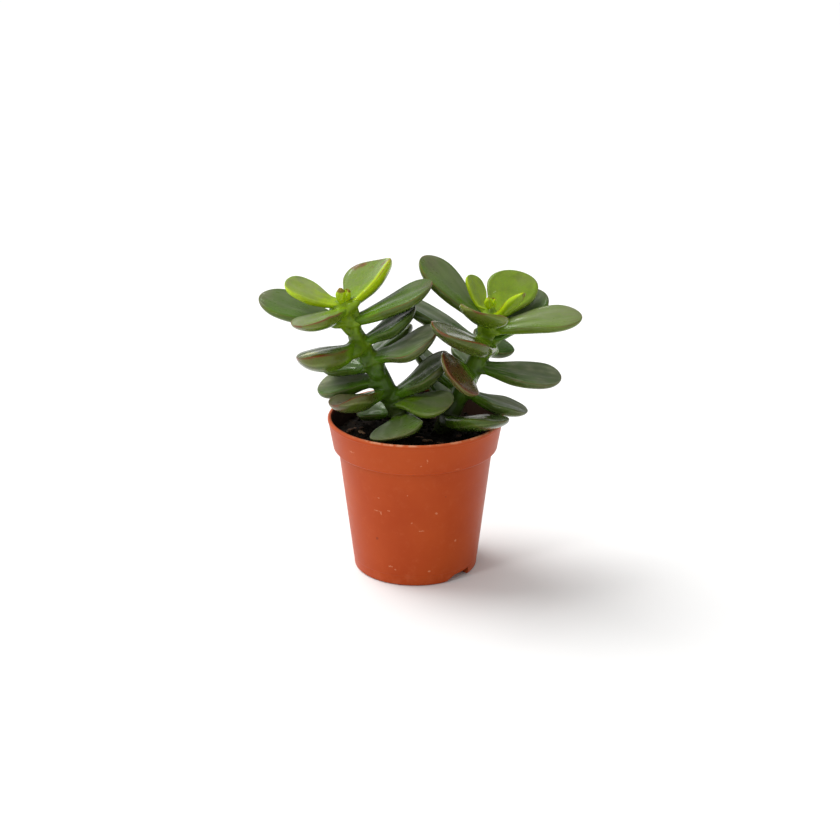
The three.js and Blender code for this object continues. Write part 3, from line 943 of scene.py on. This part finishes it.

# %% [markdown]
# A mature leaf is dark, glossy green. A thin bloom of wax with painted sheen over it, thickest along
# the middle and on the upper face, makes the half of its face away from the camera and its tip greyer.
# The half towards the camera is painted a brighter green with less of the painted sheen, and the part
# near the stalk stays fresh green. Its thick margin has two edges: the upper one is red-brown where the
# sun has reached it, the lower one is a pale line, which is a painted highlight along the keel.
# Sometimes the red spreads over the face. The newest leaves are thin and yellow-green, with a painted
# glow, most of all along the margin towards the camera. One young leaf has tiny pale dots low on its
# face, which are painted glints. One recipe holds all of this, because every leaf carries numbers of
# its own. Three say how young it is, how red its margin is and how far the red has spread, and three
# how much wax and painted sheen it has, how dark it is and how streaked with wax and painted sheen.
# Two more, which are nought on most leaves, say how much painted glow it has and where it has a
# corky scar.

# %% What a leaf's finish knows
MATURE_BASE = (0.072, 0.170, 0.004)
MATURE_FACE = (0.034, 0.086, 0.007)
# painted light: the brighter green of the face's half towards the camera
MATURE_LIT_SIDE = (0.050, 0.128, 0.006)
MATURE_TIP = (0.056, 0.066, 0.020)
MATURE_UNDER = (0.036, 0.082, 0.004)
YOUNG_BASE = (0.290, 0.420, 0.004)
YOUNG_FACE = (0.235, 0.335, 0.020)
YOUNG_TIP = (0.220, 0.300, 0.040)
YOUNG_UNDER = (0.200, 0.310, 0.006)
# the colour of the painted glow on young leaves
YOUNG_GLOW = (0.400, 0.540, 0.006)
# wax bloom with painted sheen over it
WAX_AND_SHEEN = (0.235, 0.258, 0.155)
MARGIN_RED = (0.140, 0.028, 0.008)
MARGIN_WASH = (0.105, 0.085, 0.030)
# painted highlight along the keel below the margin
KEEL_HIGHLIGHT = (0.230, 0.270, 0.100)
FLUSH_RED = (0.115, 0.026, 0.012)
DARK = (0.009, 0.018, 0.004)
# painted glints: tiny pale dots
PAINTED_GLINT = (0.550, 0.620, 0.350)
SCAR_PALE = (0.400, 0.420, 0.140)


class LeafFinish(Finish):
    def __init__(self, name):
        super().__init__(name)
        self.where = self.place()
        self.along, self.across, self.above = self.own("leaf_place")
        self.youth, self.red, self.flush = self.own("leaf_nature")
        self.wax, self.dark, self.wax_sheen_streaked = self.own("leaf_marks")
        self.scar, self.glow, _ = self.own("leaf_extra")
        self.cloud = self.grain(self.where, 150, 2, 0.5)
        self.fine = self.grain(self.where, 600, 1, 0.5)
        self.wander = self.stray(self.along, self.cloud, 0.14)
        self.upper = self.band(self.above, -0.10, 0.06)
        self.near = self.band(self.wander, 0.45, 0.05)
        # the half of the leaf towards the camera, which is painted a brighter green with less painted sheen
        self.rub_and_painted_light = self.band(self.stray(self.across, self.cloud, 0.35), -0.25, 0.75)
        lanes = {0: self.along, 1: self.times(self.across, 4), 2: self.above}
        lanes = {0: self.node("CombineXYZ", lanes).outputs[0], 1: self.scaled(self.where, (60, 60, 60))}
        self.lane = self.grain(self.node("VectorMath", lanes, operation="ADD").outputs[0], 1.3, 2, 0.5)

    def of_age(self, mature, young):
        return self.blend(self.youth, mature, young)


print("leaf memory", *LEAF_MEMORY)


# %% Greens, wax with painted sheen, red flush and painted glints
def greens(net):
    far = net.band(net.wander, 0.70, 1.05)
    # painted light: the face's half towards the camera is a brighter green
    face = net.of_age(net.blend(net.rub_and_painted_light, MATURE_FACE, MATURE_LIT_SIDE), YOUNG_FACE)
    face = net.blend(net.near, face, net.of_age(MATURE_BASE, YOUNG_BASE))
    face = net.blend(far, face, net.of_age(MATURE_TIP, YOUNG_TIP))
    # painted glow on the face of a young leaf, along the margin towards the camera
    face = net.blend(net.times(net.band(net.across, 0.5, 0.95), net.glow), face, YOUNG_GLOW)
    under = net.blend(far, net.of_age(MATURE_UNDER, YOUNG_UNDER), net.of_age(MATURE_TIP, YOUNG_TIP))
    under = net.blend(net.near, under, net.of_age(MATURE_BASE, YOUNG_BASE))
    colour = net.blend(net.upper, under, face)
    colour = net.blend(net.band(net.fine, 0.35, 0.75, 0, 0.15), colour, DARK)
    return net.blend(net.times(net.dark, net.band(net.near, 0, 1, 1, 0.35)), colour, DARK)


# wax with painted sheen: greyest on the upper face, along the middle and on the half away from the camera
def wax_bloom(net):
    return net.times(
        net.wax, net.band(net.rub_and_painted_light, 0, 1, 1, 0.50), net.band(net.lane, 0.3, 0.7, 0.65, 1),
        net.band(net.upper, 0, 1, 0.20, 1), net.band(net.near, 0, 1, 1, 0.2),
        net.band(net.maths("ABSOLUTE", net.across), 0.65, 1, 1, 0.65),
        net.band(net.cloud, 0.36, 0.64, 0.65, 1.25))


def waxed_and_flushed(net, colour, bloom_and_sheen):
    colour = net.blend(bloom_and_sheen, colour, WAX_AND_SHEEN)
    # streaks of wax with painted sheen along the upper face
    wax_sheen_streaks = net.times(net.band(net.lane, 0.54, 0.66), net.upper, net.wax_sheen_streaked)
    colour = net.blend(wax_sheen_streaks, colour, WAX_AND_SHEEN)
    spread = net.times(
        net.flush, net.band(net.cloud, 0.30, 0.66, 0.8, 1), net.band(net.wander, 0.05, 0.50),
        net.band(net.upper, 0, 1, 0.45, 1))
    colour = net.blend(spread, colour, FLUSH_RED)
    # painted glints: tiny pale dots low on the face of a leaf whose youth is near 0.58
    dots = net.times(
        net.band(net.cells(net.where, 900), 0.22, 0.10, 0, 0.7), net.band(net.cloud, 0.35, 0.6),
        net.band(net.along, 0.75, 0.35), net.ridge(net.youth, 0.58, 0.12))
    return net.blend(dots, colour, PAINTED_GLINT)


print("green, wax and flush ready")


# %% Margins, and the whole leaf finish
def edged(net, colour):
    ragged = net.stray(net.above, net.cloud, 0.04)
    away_from_ends = net.band(net.along, 0.04, 0.25)
    patchy = net.band(net.grain(net.where, 120, 1), 0.36, 0.60, 0.35, 1)
    side_face = net.times(
        net.band(ragged, 0.28, 0.10), net.band(ragged, -0.60, -0.34), away_from_ends, net.red,
        net.band(net.dark, 0, 0.6, 0.45, 0.09))
    colour = net.blend(side_face, colour, net.of_age(MARGIN_WASH, YOUNG_BASE))
    # painted highlight: a pale line along the keel below the margin
    keel_highlight = net.times(
        net.ridge(ragged, -0.42, 0.16), patchy, away_from_ends,
        net.band(net.dark, 0, 0.6, 0.42, 0.126))
    colour = net.blend(keel_highlight, colour, net.of_age(KEEL_HIGHLIGHT, YOUNG_FACE))
    # painted glow along the margin towards the camera, and over almost all of a bud leaf
    painted_glow_margin = net.times(
        net.band(net.above, -0.75, -0.2), net.band(net.above, 0.5, 0.15),
        net.band(net.across, 0, 0.4), net.glow)
    colour = net.blend(painted_glow_margin, colour, YOUNG_GLOW)
    colour = net.blend(net.band(net.glow, 1, 2, 0, 0.75), colour, YOUNG_GLOW)
    bold = net.times(net.ridge(ragged, 0.24, 0.34), net.band(net.red, 0.8, 1))
    line = net.times(net.maths("MAXIMUM", net.ridge(ragged, 0.20, 0.17), bold), patchy)
    tip = net.band(net.along, 0.975, 0.997, 0, 0.8)
    line = net.times(net.maths("MAXIMUM", line, tip), away_from_ends)
    ruddy = net.times(net.band(net.wander, 0.82, 0.94), net.glow, 0.8)
    return net.blend(net.times(net.maths("MAXIMUM", line, ruddy), net.red), colour, MARGIN_RED)


def leaf_skin(name, subsurface):
    net = LeafFinish(name)
    bloom_and_sheen = wax_bloom(net)
    colour = edged(net, waxed_and_flushed(net, greens(net), bloom_and_sheen))
    scarred = net.band(net.stray(net.scar, net.fine, 0.3), 0.55, 0.95)
    colour = net.blend(scarred, colour, SCAR_PALE)
    rough = net.band(net.maths("ADD", net.fine, bloom_and_sheen), 0.3, 1.3, 0.24, 0.46)
    normal = net.bump(net.lane, 0.20 * MM, 0.04, below=net.bump(net.fine, 0.05 * MM, 0.03))
    net.wear(base_color=colour, roughness=rough, normal=normal, specular_ior_level=0.24)
    net.wear(coat_weight=0.20, coat_roughness=0.09, specular_tint=(0.85, 1.0, 0.7, 1))
    return net.wear(
        subsurface_weight=subsurface, subsurface_scale=2 * MM, subsurface_radius=(0.55, 1, 0.1))


mature_finish = leaf_skin("jade_leaf_mature", 0.08)
young_finish = leaf_skin("jade_leaf_young", 0.25)
print("leaf finishes", mature_finish.name, young_finish.name)

# %% [markdown]
# Last, every leaf gets its own character, read off the plant one leaf at a time: the first six
# numbers that its finish asks for. Leaves that aren't listed take the plain mature look. The four
# youngest leaves also get a painted glow, and one mature leaf has a scar.

# %% All the leaves
# youth, red margin, red flush, wax and painted sheen, darkness, streaks of wax and painted sheen
PLAIN = (0, 0.5, 0, 0.35, 0.15, 0.1)
CHARACTER = {
    "left": {
        1: (1.0, 0.10, 0, 0.50, 0, 0), 2: (0.45, 0.90, 0, 0.18, 0, 0), 3: (0.30, 1.0, 0, 0.65, 0, 0.1),
        5: (0.12, 0.35, 0, 0.30, 0.05, 0.1), 6: (0.12, 0.7, 0, 0.16, 0.22, 0.1),
        7: (0.05, 0.2, 0, 0.10, 0.35, 0.1), 8: (0.15, 1.0, 0.15, 0.10, 0.05, 0),
        10: (0, 0.8, 0, 0.95, 0.05, 0.5), 12: (0, 0.3, 0, 0.70, 0.08, 0.2),
        13: (0.05, 1.0, 0.35, 0.50, 0, 0.1), 14: (0, 0.3, 0.1, 0.25, 0.35, 0.1),
        15: (0.25, 0.2, 0, 0.50, 0, 0.2), 17: (0.15, 0.2, 0, 0.45, 0, 0.3),
    },
    "right": {
        1: (0.95, 0.3, 0, 0.05, 0, 0), 2: (1.0, 1.0, 0, 0.05, 0, 0), 3: (0.58, 0.4, 0, 0, 0.05, 0),
        4: (0.35, 1.0, 0.2, 0.15, 0, 0), 5: (0.12, 0.5, 0.05, 0.34, 0.05, 0.1),
        6: (0.28, 0.5, 0.05, 0.50, 0, 0.1), 7: (0, 0.4, 0, 0.65, 0.05, 0.2),
        8: (0.30, 1.0, 0.15, 0.05, 0.55, 0), 10: (0, 0.3, 0, 0.60, 0.20, 0.1),
        11: (0, 0.6, 0, 1.0, 0, 0.7), 12: (0.10, 0.9, 0.85, 0.10, 0, 0),
        13: (0.05, 0.3, 0, 0.60, 0, 0.1), 14: (0, 0.3, 0, 1.0, 0, 0.6),
        16: (0.10, 0.3, 0, 0.20, 0.32, 0.1), 17: (0, 0.2, 0, 0.60, 0, 0.1),
    },
}
YOUNG_FROM = 0.4
# how strong the painted glow of the youngest leaves is
PAINTED_GLOW = {"leaf_left_01": 0.7, "leaf_left_02": 1.0, "leaf_right_01": 0.5, "leaf_right_02": 1.0}
# how far along, how far across, and the half sizes of a corky scar
SCARS = {"leaf_left_08": (0.78, 0.25, 0.13, 0.42)}

for k, (node, leaf) in enumerate(leaves.items()):
    side_name, number = node.split("_")[1:]
    character = CHARACTER[side_name].get(int(number), PLAIN)
    glow, scar = PAINTED_GLOW.get(node, 0), SCARS.get(node)
    blade = grow_leaf(leaf, character[:3], character[3:], 0.7 * k, glow, scar)
    is_young = character[0] > YOUNG_FROM
    finish_piece(
        node.replace("leaf", "blade"), blade, young_finish if is_young else mature_finish,
        node, sharp=math.pi)
print("leaves grown", len(leaves))

# %% [markdown]
# Each tip ends in a bud: the two newest leaves, four or five millimetres long, upright and still
# folded together, with red points. They are grown by the same function as the large leaves, from
# measures given here, because in the frame they are only two lumps on the end of the stem.

# %% Buds
BUD_LEAVES = {
    # turn, rise, length, width and thickness
    "left": [(222, 80, 5.4, 2.9, 2.1), (42, 74, 4.6, 3.0, 2.2)],
    "right": [(225, 78, 4.2, 2.4, 1.7), (45, 74, 3.6, 2.5, 1.8)],
}
BUD_NATURE = (1.0, 0.5, 0)
BUD_MARKS = (0, 0, 0)
# painted glow over almost all of each bud leaf
BUD_PAINTED_GLOW = 2
BUD_OUT = 0.25 * MM
BUD_DOWN = 1.0 * MM
BUD_HEART = 1.8 * MM
BUD_CUP = 0.5 * MM
BUD_BOW = -0.3 * MM


def bud_leaf(tip, turn, rise, long, wide, thick):
    turn, rise = math.radians(turn), math.radians(rise)
    out = Vector((math.cos(turn), math.sin(turn), 0))
    leaf = {"axis": out * math.cos(rise) + Z * math.sin(rise)}
    leaf["up"] = Z * math.cos(rise) - out * math.sin(rise)
    leaf["side"] = leaf["axis"].cross(leaf["up"])
    leaf["base"] = tip + out * BUD_OUT - Z * BUD_DOWN
    leaf["heart"] = tip - Z * BUD_HEART
    leaf.update(long=long * MM, wide=wide * MM, thick=thick * MM, cup=BUD_CUP, bow=BUD_BOW)
    return leaf


for side_name, buds in BUD_LEAVES.items():
    for k, measures in enumerate(buds):
        leaf = bud_leaf(stem_tips[side_name], *measures)
        bud = grow_leaf(leaf, BUD_NATURE, BUD_MARKS, 3.1 * k, glow=BUD_PAINTED_GLOW)
        name = f"bud_{side_name}_{k + 1}"
        finish_piece(name, bud, young_finish, "stem_" + side_name, sharp=math.pi)
print("bud leaves", sum(len(buds) for buds in BUD_LEAVES.values()))

# %% [markdown]
# The plant stands on a plain white floor in a white room. One broad, soft key light from the left,
# high up and slightly behind, lays a soft shadow to the right. It is kept out of reflections, so it
# puts no sheen on the leaves. The room lifts everything else: it is brightest near the floor, as a
# white sweep is, and on the left, where a white board stands. It is less bright overhead, and dim at
# the back, where a dark board keeps a grey haze off the tops of the leaves. A small lamp would give
# hard black shadows, so the key is a sun lamp with a wide disc, which also lights the whole floor
# evenly. A weak, small window at the front and a narrow strip at the back add the short, crisp glints
# that show how glossy the leaves are. Behind the floor, a low view sees plain white.

# %% Floor, light and room
FLOOR_SIZE = 12
FLOOR_WHITE = (0.800, 0.800, 0.795)
FLOOR_PALE = (0.820, 0.820, 0.815)
KEY_FROM = Vector((-0.52, 0.30, 0.80))
KEY_STRENGTH = 2.9
KEY_DISC = math.radians(46)
WINDOW_AT = Vector((-0.55, -0.60, 0.95))
PLANT_MIDDLE = Vector((0, 0, 0.07))
WINDOW_SIZE = 0.14
WINDOW_POWER = 2.0
STRIP_AT = Vector((-0.30, 0.45, 0.70))
STRIP_SIZE = (0.60, 0.05)
STRIP_POWER = 1.2
ROOM_LOW = 1.0
ROOM_HIGH = 0.55
ROOM_LEFT = 1.45
ROOM_BACK = 0.55
FADE_UP = (0.04, 0.26)
FADE_RIGHT = (-0.9, -0.2)
FADE_BACK = (0.2, 0.8)

floor_bm = bmesh.new()
bmesh.ops.create_grid(floor_bm, x_segments=1, y_segments=1, size=FLOOR_SIZE / 2)
floor_finish = Finish("white_floor")
floor_grain = floor_finish.grain(floor_finish.place(), 3, 2)
floor_colour = floor_finish.blend(floor_grain, FLOOR_WHITE, FLOOR_PALE)
floor = new_object("floor", floor_bm)
floor.data.materials.append(floor_finish.wear(base_color=floor_colour, roughness=0.9))

key_data = bpy.data.lights.new("key", "SUN")
key_data.energy = KEY_STRENGTH
key_data.angle = KEY_DISC
key = add("key", key_data)
key.visible_glossy = False
aim(key, -KEY_FROM)


def panel(name, at, size, power):
    data = bpy.data.lights.new(name, "AREA")
    data.shape = "RECTANGLE"
    data.size, data.size_y = size
    data.energy = power
    light = add(name, data)
    light.location = at
    aim(light, PLANT_MIDDLE - at)


panel("window", WINDOW_AT, (WINDOW_SIZE, WINDOW_SIZE), WINDOW_POWER)
panel("strip", STRIP_AT, STRIP_SIZE, STRIP_POWER)

room = Network(bpy.data.worlds.new("room"))
x, y, z = room.parts(room.node("TexCoord", {}).outputs["Generated"])
walls = room.times(
    room.band(z, *FADE_UP, ROOM_LOW, ROOM_HIGH), room.band(x, *FADE_RIGHT, ROOM_LEFT, 1),
    room.band(y, *FADE_BACK, 1, ROOM_BACK))
seen = room.node("LightPath", {}).outputs["Is Camera Ray"]
strength = room.node("Mix", {"Factor": seen, "A": walls, "B": 1.0}).outputs[0]
room.feed(room.nodes["Background"].inputs["Strength"], strength)
room.feed(room.nodes["Background"].inputs["Color"], (1, 1, 1))
scene.world = room.owner
scene.view_settings.view_transform = "Standard"
print("key light", KEY_STRENGTH, "room", ROOM_LOW, "to", ROOM_HIGH)
